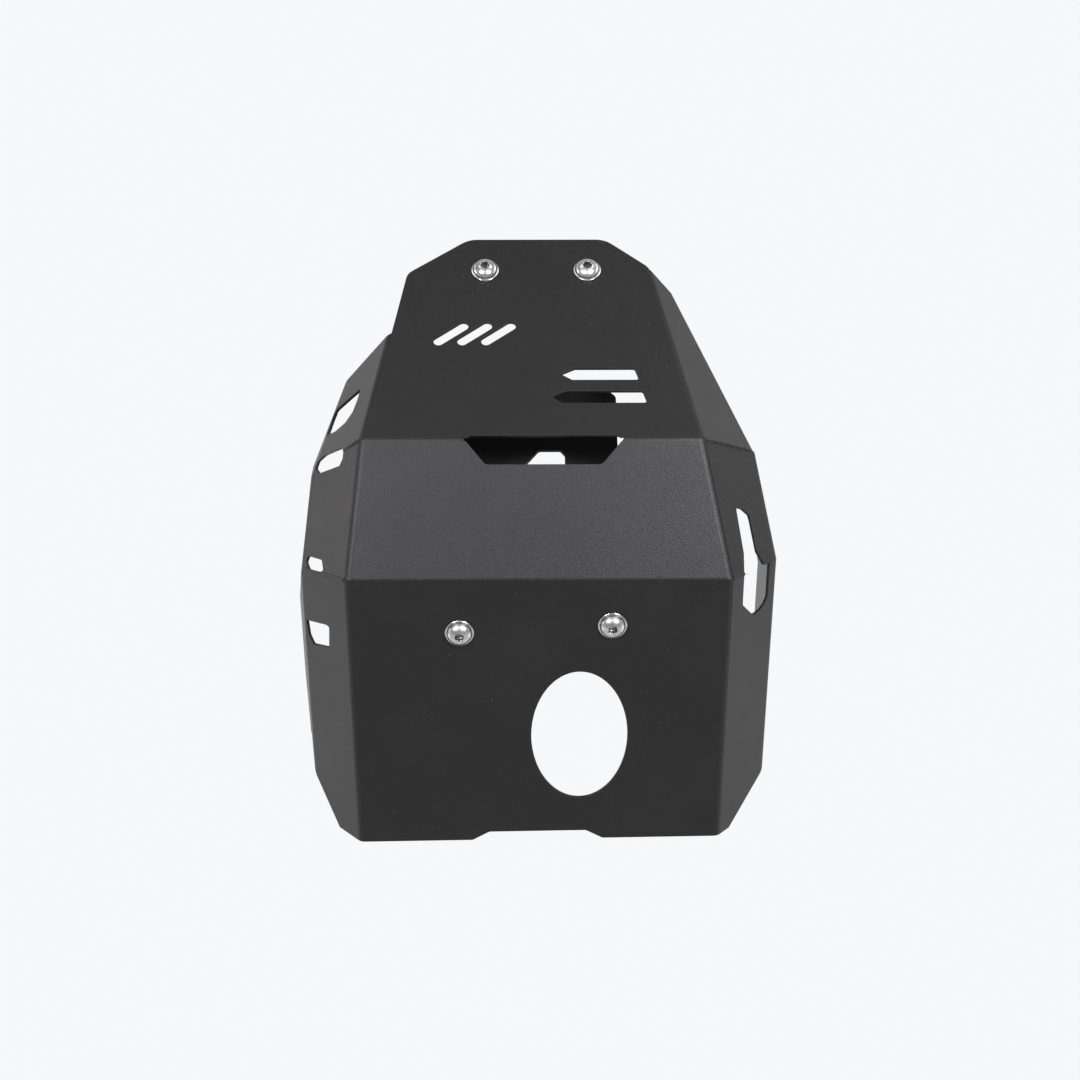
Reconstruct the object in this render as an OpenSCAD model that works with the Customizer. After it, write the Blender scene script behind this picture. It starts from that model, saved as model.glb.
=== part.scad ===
// Motorcycle skid plate: a folded and welded sheet guard with its inner front bracket and screws.
// X points to the rider's left, Y to the rear wheel and Z up. The belly panel is level.
// The origin is midway between the two frame holes, on the upper face of the bracket.

/* [Sheet] */
// Thickness of the guard's sheet
sheet_t = 2; // [1.5:0.25:4]
// Inside radius of every bend in the guard
bend_r = 5; // [3:0.5:6]
// Radius of the weld bead on each mitred corner
weld_r = 1.5; // [1:0.25:2]

/* [Panels] */
// Length of the belly panel, from its rear edge to the rear fold
belly_len = 161; // [150:1:200]
// Length of the sloped panel between the two folds
slope_len = 86; // [75:1:110]
// Length of the front panel at its left corner
front_len_left = 196.9; // [180:0.5:230]
// Length of the front panel at its right corner
front_len_right = 193; // [180:0.5:230]
// Angle of the fold between the belly and the slope
rear_fold = 30.5; // [20:0.5:40]
// Angle of the fold between the slope and the front
front_fold = 30.5; // [20:0.5:40]
// Half width of the panels at the rear fold, left of the middle
rear_half_left = 107; // [98:1:112]
// Half width of the panels at the rear fold, right of the middle
rear_half_right = 100.5; // [95:0.5:110]
// Half width of the panels at the front fold, left of the middle
front_half_left = 116; // [112:1:125]
// Half width of the panels at the front fold, right of the middle
front_half_right = 117.5; // [112:0.5:125]
// Half width of the front panel at its free edge, left of the middle
edge_half_left = 116; // [112:1:125]
// Half width of the front panel at its free edge, right of the middle
edge_half_right = 118; // [112:1:125]
// Taper of the belly panel's left bend towards the rear
belly_taper_left = 9.5; // [5:0.5:12]
// Taper of the belly panel's right bend towards the rear
belly_taper_right = 11.4; // [5:0.1:12]

/* [Belly outline] */
// Half width of the belly's straight rear edge, left of the middle
rear_edge_left = 44; // [40:1:48]
// Half width of the belly's straight rear edge, right of the middle
rear_edge_right = 45; // [40:1:48]
// How far forward the left corner cut reaches
rear_cut_left = 29; // [20:1:34]
// How far forward the right corner cut reaches
rear_cut_right = 23; // [20:1:30]
// Step of the panel's edge inside the bend where a side flange begins
relief = 1.6; // [1:0.2:5]
// Radius of the cut outline's corners
corner_r = 9; // [3:1:12]
// Radius of the rear edge's two corners
rear_corner_r = 16; // [8:1:20]

/* [Side flanges] */
// Angle of the belly's left bevel
belly_bevel_left = 47; // [40:1:50]
// Angle of the slope's left bevel
slope_bevel_left = 46; // [40:1:50]
// Angle of the front's left bevel
front_bevel_left = 46.5; // [40:1:52]
// Angle of the belly's right bevel
belly_bevel_right = 38; // [34:1:46]
// Angle of the slope's right bevel
slope_bevel_right = 42; // [36:1:48]
// Angle of the front's right bevel
front_bevel_right = 46; // [38:1:50]
// Width of the bevels from one bend to the next
bevel_w = 45.5; // [40:0.5:52]
// Angle of the left side wall to the panel it starts from
wall_angle_left = 83.5; // [78:0.5:90]
// Angle between the front panel and the left side wall
front_wall_left = 80; // [76:1:90]
// Angle of the right side wall to the panel it starts from
wall_angle_right = 90; // [80:1:92]
// Angle of the left wall along the belly to the belly panel
belly_wall_left = 72; // [68:1:85]
// Depth of the left side wall's rim below the panel's outer face
rim_depth_left = 92; // [70:1:110]
// Depth of the right side wall's rim below the panel's outer face
rim_depth_right = 101; // [80:1:115]
// Height of both walls' rims above the belly at their rear corners
rim_rear_height = 82; // [60:1:90]
// Distance of the left rim's rear corner behind the rear fold
rim_rear_left = 34; // [20:1:45]
// Distance of the right rim's rear corner behind the rear fold
rim_rear_right = 26; // [18:1:35]
// Length of the left flange along the belly
flange_left = 83.5; // [70:0.5:95]
// Length of the right flange along the belly
flange_right = 139; // [120:1:142]
// Width of the left flange where its end cut begins
flange_tip_left = 36.5; // [30:0.5:40]
// Width of the right flange where its end cut begins
flange_tip_right = 14.7; // [10:0.5:20]
// Length of the left flange's end cut, along the bend
flange_cut_left = 21; // [15:1:26]
// Length of the right flange's end cut, along the bend
flange_cut_right = 16; // [10:1:24]
// How far the left bevel's front corner cut reaches back from the free edge
nose_cut_left = 32; // [20:1:36]
// How far the right bevel's front corner cut reaches back from the free edge
nose_cut_right = 29.5; // [20:0.5:36]
// Width left between the bend and the left front corner cut
nose_width_left = 22.5; // [18:0.5:30]
// Width left between the bend and the right front corner cut
nose_width_right = 12; // [10:1:26]

/* [Openings] */
// Width of the oval in the front panel
oval_w = 61; // [45:1:70]
// Height of the oval in the front panel
oval_h = 96; // [75:1:105]
// Distance of the oval's middle from the front fold
oval_at = 113.5; // [105:0.5:125]
// Distance of the oval's middle to the right of the guard's middle
oval_side = 26.5; // [10:0.5:35]
// Width of the drain notch at the rear fold
notch_w = 98; // [80:1:104]
// How far the drain notch reaches into the slope
notch_slope = 15.5; // [10:0.5:20]
// How far the drain notch reaches into the belly
notch_belly = 2.5; // [1.5:0.5:5]
// Distance of the drain notch's middle to the right of the guard's middle
notch_side = 4; // [0:1:8]
// Width of each belly vent across its slot
vent_w = 8.9; // [6:0.1:10]
// Length of the rear belly vent
vent_rear_len = 48; // [40:1:50]
// Length of the front belly vent
vent_front_len = 58.5; // [50:0.5:60]
// Distance between the middles of the two belly vents
vent_pitch = 17.8; // [14:0.1:22]
// Distance of the rear belly vent from the rear fold
vent_at = 49.6; // [46:0.1:60]
// Width of each short slanted vent
slash_w = 6.5; // [5:0.5:9]
// Length of each short slanted vent
slash_len = 26; // [20:1:32]
// Spacing of the short slanted vents
slash_pitch = 15; // [13:0.5:18]
// Number of short slanted vents
slash_count = 3; // [2:1:3]
// Distance of the slanted slots from the rear fold
slash_at = 82; // [76:1:90]
// Depth of the wide notch in the free edge of the front panel
edge_notch = 6.5; // [4:0.5:10]
// Half width of the bottom of that notch
edge_notch_half = 31.5; // [25:0.5:40]
// Length of its slanted ends, across the panel
edge_notch_slant = 11; // [8:1:16]
// Width of the long side slot in the right bevel
side_slot_w = 13; // [10:0.5:15]
// Width of the slanted side windows in the left bevels
side_window_w = 22; // [16:1:24]

/* [Fasteners] */
// Diameter of the screws
screw_d = 8; // [8:1:10]
// Diameter of the screw heads' flange
head_flange_d = 17.8; // [17.8:0.1:20]
// Thickness of the screw heads' flange
head_flange_t = 1.2; // [1:0.1:2]
// Diameter of the domed head
head_d = 15.4; // [13:0.1:16]
// Height of the screw heads
head_h = 4.4; // [4.2:0.1:5.5]
// Width across the flats of the socket
socket_af = 5; // [4:0.5:6]
// Depth of the socket
socket_depth = 2.6; // [2:0.1:3]
// Length of the front screws under the head
front_screw_len = 20; // [18:1:30]
// Length of the rear screws under the head
rear_screw_len = 30; // [28:1:40]
// Diameter of the neck under the rear screws' heads, where a retaining washer keeps them in the guard
neck_d = 6.4; // [6:0.1:7]
// Length of that neck, under the head
neck_len = 6; // [5:0.5:8]
// Clearance of a hole around its screw, across the diameter
hole_play = 1; // [0.5:0.1:1.5]
// Play of a nut's thread around its screw, across the diameter
thread_play = 0.1; // [0.1:0.05:0.3]
// Half the spacing of the rear screws
rear_screw_half = 33; // [30:0.5:36]
// Distance of the rear screws from the belly's rear edge
rear_screw_inset = 27; // [22:1:34]
// Length of the rear slots, from screw centre to the slot's other end centre
slot_travel = 6.5; // [4:0.5:12]
// Distance of the left front screw from the middle
front_screw_left = 48; // [44:0.5:52]
// Distance of the right front screw from the middle
front_screw_right = 46; // [44:0.5:52]
// Distance of the left front screw from the front fold
front_screw_at_left = 36.5; // [32:0.5:42]
// Distance of the right front screw from the front fold
front_screw_at_right = 31.5; // [28:0.5:38]
// Outer diameter of the flat washers
washer_d = 16; // [15:1:20]
// Thickness of the flat washers
washer_t = 1.6; // [1.2:0.2:2]
// Width across the flats of the nuts
nut_af = 13; // [13:0.5:15]
// Height of the front nuts, which are welded to the bracket
weld_nut_h = 6.5; // [6:0.5:9]

/* [Bracket] */
// Thickness of the bracket's sheet
bracket_t = 3; // [2.5:0.5:4]
// Inside radius of the bracket's bend
bracket_r = 4; // [3:0.5:6]
// Height of the bracket's level leg above the belly's outer face
bracket_z = 54; // [50:1:60]
// Half width of the level leg
bracket_half = 52; // [50:1:56]
// Half width of the bracket's front leg
bracket_ear_half = 61; // [58:1:66]
// Reach of the level leg behind the rear fold
bracket_rear = 79.2; // [76:1:90]
// Top of the front leg, as a distance from the front fold
bracket_top = 52; // [50:1:60]
// Half the spacing of the frame holes in the level leg
frame_hole_half = 34; // [30:1:38]
// Distance of the frame holes behind the rear fold
frame_hole_at = 55; // [50:1:60]
// Rear edge of the drain window, behind the rear fold
window_rear = 30.5; // [25:0.5:35]
// Length of the drain window
window_len = 44; // [30:1:50]
// Half width of the drain window
window_half = 18; // [14:0.5:22]

/* [Hidden] */
$fn = 72;
far = 420;
open_far = far + 60;
bend_steps = 9;
corner_steps = 4;
lift_off = 3;
left = 1;
right = -1;
out_r = bend_r + sheet_t;
front_tilt = rear_fold + front_fold;
hole_d = screw_d + hole_play;
thread_d = screw_d + thread_play;
rear_screw_at = belly_len - rear_screw_inset;
bead_end = 7;
steel_black = [0.16, 0.16, 0.165];
bracket_black = [0.09, 0.09, 0.095];
bright = [0.78, 0.78, 0.78];

// Picks a value by side
function by(side, l, r) = side == left ? l : r;
function unit(v) = v / norm(v);

// A panel is given by its tilt: 0 for the belly, rear_fold for the slope, front_tilt for the front.
// inward() points into the guard and ahead() runs along the panel towards the free front edge.
function inward(tilt) = [0, sin(tilt), cos(tilt)];
function ahead(tilt) = [0, -cos(tilt), sin(tilt)];
slope_end = slope_len * ahead(rear_fold);

// Where the bend lines' outer corners meet the two folds and the free edge
function rear_corner(side) = [side * by(side, rear_half_left, rear_half_right), 0, 0];
function front_corner(side) = slope_end + [side * by(side, front_half_left, front_half_right), 0, 0];
function edge_corner(side) = slope_end + by(side, front_len_left, front_len_right) * ahead(front_tilt)
    + [side * by(side, edge_half_left, edge_half_right), 0, 0];

// Direction of each bend line towards the front
function belly_dir(side) = let(a = by(side, belly_taper_left, belly_taper_right))
    [side * sin(a), -cos(a), 0];
function slope_dir(side) = unit(front_corner(side) - rear_corner(side));
function front_dir(side) = unit(edge_corner(side) - front_corner(side));

// Direction in the panel, square to the bend line and away from the middle
function outward(side, dir, tilt) = side * cross(inward(tilt), dir);
// Direction down a bevel, and the normal on its outer face
function down(side, dir, tilt, angle) = cos(angle) * outward(side, dir, tilt) + sin(angle) * inward(tilt);
function face(side, dir, tilt, angle) = sin(angle) * outward(side, dir, tilt) - cos(angle) * inward(tilt);

// One row for each folded strip of a side: start point, bend direction, panel tilt, bevel angle
function strips(side) = [
    [rear_corner(side), belly_dir(side), 0, by(side, belly_bevel_left, belly_bevel_right)],
    [rear_corner(side), slope_dir(side), rear_fold, by(side, slope_bevel_left, slope_bevel_right)],
    [front_corner(side), front_dir(side), front_tilt, by(side, front_bevel_left, front_bevel_right)]
];
belly = 0;
slope = 1;
front = 2;

// Points of an arc of radius r that rounds corner b of the path a, b, c
function fillet(a, b, c, r, steps = corner_steps) =
    r == 0 ? [b] :
    let(
        u = unit(a - b),
        v = unit(c - b),
        half = acos(max(-1, min(1, u * v))) / 2,
        centre = b + unit(u + v) * r / sin(half),
        from = b + u * r / tan(half) - centre,
        to = b + v * r / tan(half) - centre
    )
    [for (i = [0:steps]) centre + r * unit((1 - i / steps) * from + i / steps * to)];

// A closed outline with the same radius, or one radius for each corner
function rounded(p, r, steps = corner_steps) = let(n = len(p)) [
    for (i = [0:n - 1])
        each fillet(p[(i + n - 1) % n], p[i], p[(i + 1) % n], is_list(r) ? r[i] : r, steps)
];

// Puts the local x, y and z axes on three directions, from point p
module on_axes(x, y, z, p) {
    multmatrix([
        [x[0], y[0], z[0], p[0]],
        [x[1], y[1], z[1], p[1]],
        [x[2], y[2], z[2], p[2]],
        [0, 0, 0, 1]
    ]) children();
}

// Local x to the rider's left, y ahead along the panel and z out of its outer face
module on_panel(tilt, from) {
    on_axes([1, 0, 0], ahead(tilt), -inward(tilt), from) children();
}

// Local x along the bend line towards the front and y down the bevel
module on_bevel(side, strip) {
    s = strips(side)[strip];
    x = s[1];
    y = down(side, s[1], s[2], s[3]);
    on_axes(x, y, cross(x, y), s[0]) children();
}

// Everything on the side of a plane that its normal n points to
module half_space(n, p) {
    z = unit(n);
    x = unit(cross(z, abs(z[0]) < 0.8 ? [1, 0, 0] : [0, 1, 0]));
    on_axes(x, cross(z, x), z, p)
        translate([-far, -far, 0]) cube([2 * far, 2 * far, far]);
}

// The part of space that belongs to one strip of a side, cut at its mitre planes
module strip_space(side, strip) {
    s = strips(side);
    n = [for (k = s) face(side, k[1], k[2], k[3])];
    if (strip == belly) half_space(n[belly] - n[slope], s[slope][0]);
    if (strip == slope) intersection() {
        half_space(n[slope] - n[belly], s[slope][0]);
        half_space(n[slope] - n[front], s[front][0]);
    }
    if (strip == front) half_space(n[front] - n[slope], s[front][0]);
}

// Side view of the three panels, rounded at both folds, filled up towards the engine
module panels_solid(inset, wall) {
    r = bend_r + sheet_t - inset;
    p1 = inset * inward(rear_fold / 2) / cos(rear_fold / 2);
    p2 = slope_end + inset * inward((rear_fold + front_tilt) / 2) / cos(front_fold / 2);
    nose = p2 + wall * ahead(front_tilt);
    rear = belly_len + 20 + wall - far;
    outline = [
        [rear, inset], [p1[1], p1[2]], [p2[1], p2[2]], [nose[1], nose[2]], [rear, nose[2]]
    ];
    rotate([90, 0, 90]) translate([0, 0, -wall]) linear_extrude(2 * wall)
        polygon(rounded(outline, [0, r, r, 0, 0], bend_steps));
}

// A bend between two flat faces, filled on its inner side. Local x points out of the first face's
// edge and local y into the guard; the second face turns up by angle. Beyond the bend the first
// face falls away a little, so that only the form it belongs to sets that face.
module bend_solid(p, x, y, angle, inset, wall) {
    r = bend_r + sheet_t - inset;
    b = inset * [-tan(angle / 2), 1];
    end = b + wall * [cos(angle), sin(angle)];
    below = [-wall, inset - (wall + b[0]) * tan(lift_off)];
    on_axes(x, y, cross(x, y), p) linear_extrude(2 * wall, center = true)
        polygon(concat(
            [below], fillet([-wall, inset], b, end, r, bend_steps), [end, [end[0], wall], [-wall, wall]]
        ));
}

// One strip of a side: the bend from the panel to the bevel
module bevel_solid(side, strip, inset, wall) {
    s = strips(side)[strip];
    bend_solid(s[0], outward(side, s[1], s[2]), inward(s[2]), s[3], inset, wall);
}

// The bend from the bevel to the side wall. On the left it goes on along the belly's bevel.
module wall_solid(side, strip, inset, wall) {
    s = strips(side)[strip];
    y = down(side, s[1], s[2], s[3]);
    n = -face(side, s[1], s[2], s[3]);
    slant = strip == belly ? (bevel_w - flange_tip_left) / (flange_left - flange_cut_left) : 0;
    dir = unit(s[1] + slant * y);
    turn = side == right ? wall_angle_right
        : strip == belly ? belly_wall_left : strip == front ? front_wall_left : wall_angle_left;
    bend_solid(s[0] + bevel_w * y, side * cross(n, dir), n, turn - s[3], inset, wall);
}

// The guard's outer form, or its hollow: the space that all panels, bevels and walls enclose
module guard_form(inset, wall) {
    intersection() {
        panels_solid(inset, wall);
        bevel_solid(left, belly, inset, wall);
        bevel_solid(left, slope, inset, wall);
        bevel_solid(left, front, inset, wall);
        bevel_solid(right, belly, inset, wall);
        bevel_solid(right, slope, inset, wall);
        bevel_solid(right, front, inset, wall);
        wall_solid(left, belly, inset, wall);
        wall_solid(left, slope, inset, wall);
        wall_solid(left, front, inset, wall);
        wall_solid(right, slope, inset, wall);
        wall_solid(right, front, inset, wall);
    }
}

// Everything outside the belly panel's cut outline, behind the flanges
module belly_trim() {
    function bend_x(side, y) = side * (by(side, rear_half_left, rear_half_right)
        - y * tan(by(side, belly_taper_left, belly_taper_right)));
    function flange_end(side) = by(side, flange_left, flange_right)
        * cos(by(side, belly_taper_left, belly_taper_right));
    yl = flange_end(left);
    yr = flange_end(right);
    cut_l = belly_len - rear_cut_left;
    cut_r = belly_len - rear_cut_right;
    keep = [
        [far, -far], [far, yl], [bend_x(left, yl) - relief, yl],
        [bend_x(left, cut_l) - relief, cut_l], [rear_edge_left, belly_len],
        [-rear_edge_right, belly_len], [bend_x(right, cut_r) + relief / 2, cut_r],
        [bend_x(right, cut_r), yr], [-far, yr], [-far, -far]
    ];
    translate([0, 0, -sheet_t - out_r]) linear_extrude(4 * out_r) difference() {
        square(2 * far + 20, center = true);
        polygon(rounded(keep, [0, 0, 1, corner_r, rear_corner_r, rear_corner_r, 3, 0, 0, 0]));
    }
}

// What is cut from a belly bevel: its end, and on the right also its slanted free edge
module flange_trim(side) {
    tip = by(side, flange_tip_left, flange_tip_right);
    end = by(side, flange_left, flange_right);
    cut = by(side, flange_cut_left, flange_cut_right);
    // The right free edge ends just past the wall's bend line
    free_edge = bevel_w + 0.4;
    slant = (free_edge - tip) / (end - cut);
    beyond = 40;
    edge = side == left
        ? [[cut - end + 12, far], [cut - end, tip], [-end, 0], [-far, 0], [-far, far]]
        : [[beyond, free_edge + beyond * slant], [cut - end, tip], [-end, 0], [-far, 0], [-far, far],
            [beyond, far]];
    intersection() {
        on_bevel(side, belly) linear_extrude(far, center = true)
            polygon(rounded(edge, [for (i = [0:len(edge) - 1]) i == 1 ? 3 : 0]));
        strip_space(side, belly);
        half_space([side, 0, 0], [side * rear_edge_left, 0, 0]);
        half_space([0, 0, 1], [0, 0, -out_r]);
    }
}

// Everything above the rim of one side's walls, from the end of the belly flange to the nose
module rim_trim(side) {
    depth = by(side, rim_depth_left, rim_depth_right);
    length = by(side, front_len_left, front_len_right);
    nose = length - by(side, nose_cut_left, nose_cut_right);
    // Side-view point at distance s along the front panel and d into the guard
    function at(s, d) = let(p = slope_end + s * ahead(front_tilt) + d * inward(front_tilt)) [p[1], p[2]];
    rear = side == left
        ? [[far, 36], [flange_left - 16, 31], [rim_rear_left, rim_rear_height]]
        : [[far, rim_rear_height], [rim_rear_right, rim_rear_height]];
    rim = concat(rear, [
        at(12, depth), at(nose - 42, depth), at(nose + 6, bevel_w * sin(48)), [at(nose + 10, 0)[0], far],
        [far, far]
    ]);
    r = concat(side == left ? [0, 6, 12] : [0, 12], [20, 20, 12, 0, 0]);
    on_axes([0, 1, 0], [0, 0, 1], [1, 0, 0], [side == left ? 0 : -far, 0, 0])
        linear_extrude(far) polygon(rounded(rim, r));
}

// The free edge of the front panel with its wide notch, and the cut corners of both bevels
module nose_trim() {
    slant = (front_len_left - front_len_right) / (edge_half_left + edge_half_right);
    function edge(x) = front_len_right + slant * (x + edge_half_right);
    w = edge_notch_half;
    o = w + edge_notch_slant;
    outline = [
        [-far, edge(-far)], [-o, edge(-o)], [-w, edge(-w) - edge_notch], [w, edge(w) - edge_notch],
        [o, edge(o)], [far, edge(far)], [far, 2 * far], [-far, 2 * far]
    ];
    on_panel(front_tilt, slope_end) translate([0, 0, -far / 2]) linear_extrude(far)
        polygon(rounded(outline, [0, 4, 4, 4, 4, 0, 0, 0]));
    for (side = [left, right]) {
        length = by(side, front_len_left, front_len_right);
        start = by(side, nose_width_left, nose_width_right);
        cut = by(side, nose_cut_left, nose_cut_right);
        rise = (bevel_w - start) / cut;
        over = 30;
        intersection() {
            on_bevel(side, front) linear_extrude(20 * out_r, center = true)
                polygon([
                    [length + over, start - over * rise], [length - cut - over, bevel_w + over * rise],
                    [length + over, bevel_w + over * rise]
                ]);
            strip_space(side, front);
        }
    }
}

// A window cut square through a bevel, from corner points along and down the bevel
module bevel_window(side, strip, points, r) {
    on_bevel(side, strip) linear_extrude(4 * out_r, center = true) polygon(rounded(points, r));
}

// The four windows of the left bevels; the rear one runs across the second bend into the wall
module left_windows() {
    in = bevel_w - side_window_w;
    bevel_window(left, belly, [
        [-46.5, in - 7], [-43.5, in + 4], [-40.4, in + 14], [-37, in + 23], [-21.5, in + 23],
        [-20.3, in + 10], [-23.2, in + 0.5], [-29.3, in - 5], [-38, in - 6.5]
    ], [0.5, 1, 2, 1, 1, 2, 4, 4, 2]);
    bevel_window(left, slope, [
        [4.9, in - 7.5], [7.6, in + 4.8], [10, in + 13.7], [14.5, in + 19.5], [18.5, in + 18.5],
        [21.5, in + 14.5], [16.5, in - 5], [11.9, in - 7.5]
    ], [0.5, 3, 3, 2, 1.5, 1, 1, 1.5]);
    intersection() {
        bevel_window(left, slope, [
            [slope_len - 12.8, in + 16.6], [slope_len - 11, in + 2.5], [slope_len - 4.9, in],
            [slope_len - 3.6, in + 2.7], [slope_len - 4.8, in + 14.7], [slope_len - 9, in + 18]
        ], [1.5, 1.5, 1, 1, 1.5, 1.5]);
        strip_space(left, slope);
    }
    bevel_window(left, front, [
        [46.1, in + 19.8], [56.5, in + 18.3], [61.5, in + 14.6], [56.6, in - 2.2], [41.4, in - 3.5],
        [40.9, in - 0.6]
    ], [1, 2, 2, 1, 1, 1]);
}

// The long slot of the right bevels, which runs across the welded corner
module right_slot() {
    a = 22.5 - side_slot_w / 2;
    b = 22.5 + side_slot_w / 2;
    intersection() {
        bevel_window(right, slope, [
            [45.7, a + 1.4], [45.2, a + 3.6], [46.5, b - 6.1], [50.7, b - 1.1], [54, b - 0.7],
            [slope_len - 12.4, b - 0.7], [slope_len - 6.6, b + 1.9], [slope_len + 6, b + 9.5],
            [slope_len + 6, a - 5], [slope_len - 12.7, a + 0.1]
        ], [1, 1, 2, 2, 1, 2, 1, 0, 0, 3]);
        strip_space(right, slope);
    }
    intersection() {
        bevel_window(right, front, [
            [-5, b + 9.2], [27.8, b + 9.2], [31.7, b + 7], [34.5, b + 2.2], [35.3, b - 2.8],
            [34.2, b - 5.5], [29.4, a + 2.9], [23.1, a - 3], [-5, a - 3.1]
        ], [0, 3, 2, 2, 2, 1, 2, 3, 0]);
        strip_space(right, front);
    }
}

// The oval, the drain notch, the vents and the screw holes
module panel_openings() {
    on_panel(front_tilt, slope_end) {
        translate([-oval_side, oval_at, -2 * out_r]) scale([oval_w / oval_h, 1, 1])
            cylinder(3 * out_r, d = oval_h);
        for (p = front_screws) translate([p[0], p[1], -2 * out_r]) cylinder(3 * out_r, d = hole_d);
    }
    // Drain notch, across the rear fold
    half = notch_w / 2;
    end_half = half - 13.5;
    translate([-notch_side, 0, 0]) {
        on_panel(rear_fold, [0, 0, 0]) translate([0, 0, -2 * out_r]) linear_extrude(3 * out_r)
            polygon(rounded([
                [-half, -0.5], [-end_half, notch_slope], [end_half, notch_slope], [half, -0.5]
            ], [0, 4, 4, 0]));
        translate([0, 0, -out_r]) linear_extrude(3 * out_r)
            polygon([
                [-half, -1], [-half + 3.5, notch_belly], [half - 3.5, notch_belly], [half, -1]
            ]);
    }
    for (k = [[-39, vent_at, vent_rear_len], [-38.2, vent_at - vent_pitch, vent_front_len]])
        translate([k[0], k[1], -out_r]) linear_extrude(3 * out_r) belly_vent(k[2]);
    for (i = [0:slash_count - 1])
        translate([39 + (i - (slash_count - 1) / 2) * slash_pitch, slash_at, -out_r]) rotate(-38)
            slot(slash_len - slash_w, slash_w);
    for (side = [left, right])
        translate([side * rear_screw_half, rear_screw_at - slot_travel, -out_r]) rotate(90)
            translate([slot_travel / 2, 0, 0]) slot(slot_travel, hole_d);
}

// Outline of a belly vent: pointed towards the rider's left, slanted at its other end
module belly_vent(length) {
    h = vent_w / 2;
    polygon(rounded([
        [length / 2, 0], [length / 2 - 8.8, h], [2 - length / 2, h], [-length / 2 - 0.6, -h],
        [length / 2 - 7, -h]
    ], [1, 2, 1.5, 1.5, 1]));
}

// A slot with round ends, its end centres travel apart along x
module slot(travel, w) {
    for (x = [-travel / 2, travel / 2]) translate([x, 0, 0]) cylinder(3 * out_r, d = w);
    translate([-travel / 2, -w / 2, 0]) cube([travel, w, 3 * out_r]);
}

// Front screws in the front panel's own axes
front_screws = [[front_screw_left, front_screw_at_left], [-front_screw_right, front_screw_at_right]];

// A weld bead along each mitre, from the panel's corner to the second bend
module welds() {
    for (side = [left, right], k = [belly, slope]) {
        s = strips(side);
        a = face(side, s[k][1], s[k][2], s[k][3]);
        b = face(side, s[k + 1][1], s[k + 1][2], s[k + 1][3]);
        e = unit(cross(a, b));
        seam = e * inward(s[k + 1][2]) > 0 ? e : -e;
        reach = bevel_w / (seam * down(side, s[k + 1][1], s[k + 1][2], s[k + 1][3]));
        inset = unit(a + b) * sheet_t / 2;
        start = s[k + 1][0] - inset + 3 * seam;
        x = unit(cross(seam, [1, 0, 0]));
        on_axes(x, cross(seam, x), seam, start) {
            cylinder(reach - bead_end, r = weld_r);
            sphere(weld_r);
        }
    }
}

module guard_plate() {
    color(steel_black) difference() {
        union() {
            difference() {
                guard_form(0, far);
                guard_form(sheet_t, open_far);
                belly_trim();
                for (side = [left, right]) {
                    flange_trim(side);
                    rim_trim(side);
                }
                nose_trim();
            }
            welds();
        }
        left_windows();
        right_slot();
        panel_openings();
    }
}

// Inner bracket: a level leg for the frame and a front leg behind the front panel, one bent sheet
module front_bracket() {
    n = inward(front_tilt);
    a = ahead(front_tilt);
    base = slope_end + sheet_t * n;
    // Outer corner of the bend, where the level leg's lower face meets the front leg
    corner = base + (bracket_z - base[2]) / a[2] * a;
    top = slope_end + sheet_t * n + bracket_top * a;
    in_corner = corner + bracket_t * [0, tan(front_tilt / 2), 1];
    outer = fillet([bracket_rear, bracket_z], [corner[1], corner[2]], [top[1], top[2]],
        bracket_r + bracket_t, bend_steps);
    inner = fillet([top[1] + bracket_t * n[1], top[2] + bracket_t * n[2]], [in_corner[1], in_corner[2]],
        [bracket_rear, bracket_z + bracket_t], bracket_r, bend_steps);
    color(bracket_black) difference() {
        rotate([90, 0, 90]) linear_extrude(2 * bracket_ear_half, center = true) polygon(concat(
            [[bracket_rear, bracket_z]], outer, [[top[1], top[2]],
            [top[1] + bracket_t * n[1], top[2] + bracket_t * n[2]]], inner,
            [[bracket_rear, bracket_z + bracket_t]]
        ));
        // Outline and holes of the level leg
        translate([0, 0, bracket_z - 5]) linear_extrude(bracket_t + 10) {
            difference() {
                translate([-far / 2, corner[1] + 22]) square([far, far]);
                bracket_leg();
            }
            translate([0, window_rear - window_len / 2]) polygon(rounded([
                [-window_half, -window_len / 2], [window_half, -window_len / 2],
                [window_half, window_len / 2 - 25], [window_half - 19.5, window_len / 2],
                [3 - window_half, window_len / 2], [-window_half, window_len / 2 - 4]
            ], [6, 6, 6, 3, 1.5, 2]));
        }
        for (x = [-frame_hole_half, frame_hole_half])
            translate([x, frame_hole_at, bracket_z - 5]) cylinder(bracket_t + 10, d = hole_d);
        // Corners and holes of the front leg
        on_panel(front_tilt, slope_end) {
            translate([0, 0, -20]) linear_extrude(30) difference() {
                translate([-far / 2, bracket_top - 14]) square([far, far]);
                polygon(rounded([
                    [-bracket_ear_half, 0], [bracket_ear_half, 0], [bracket_ear_half, bracket_top],
                    [-bracket_ear_half, bracket_top]
                ], [0, 0, 10, 10]));
            }
            for (p = front_screws) translate([p[0], p[1], -20]) cylinder(30, d = hole_d);
        }
    }
}

// Outline of the level leg: full width at the bend, narrower behind it, cut rear corners
module bracket_leg() {
    y0 = slope_end[1] + 10;
    polygon(rounded([
        [bracket_ear_half + 1, y0], [bracket_ear_half + 1, y0 + 10], [bracket_half, y0 + 24],
        [bracket_half, bracket_rear - 6], [bracket_half - 6, bracket_rear + 0.01],
        [6 - bracket_half, bracket_rear + 0.01], [-bracket_half, bracket_rear - 6],
        [-bracket_half, y0 + 24], [-bracket_ear_half - 1, y0 + 10], [-bracket_ear_half - 1, y0]
    ], [0, 4, 4, 4, 4, 4, 4, 4, 4, 0]));
}

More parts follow.
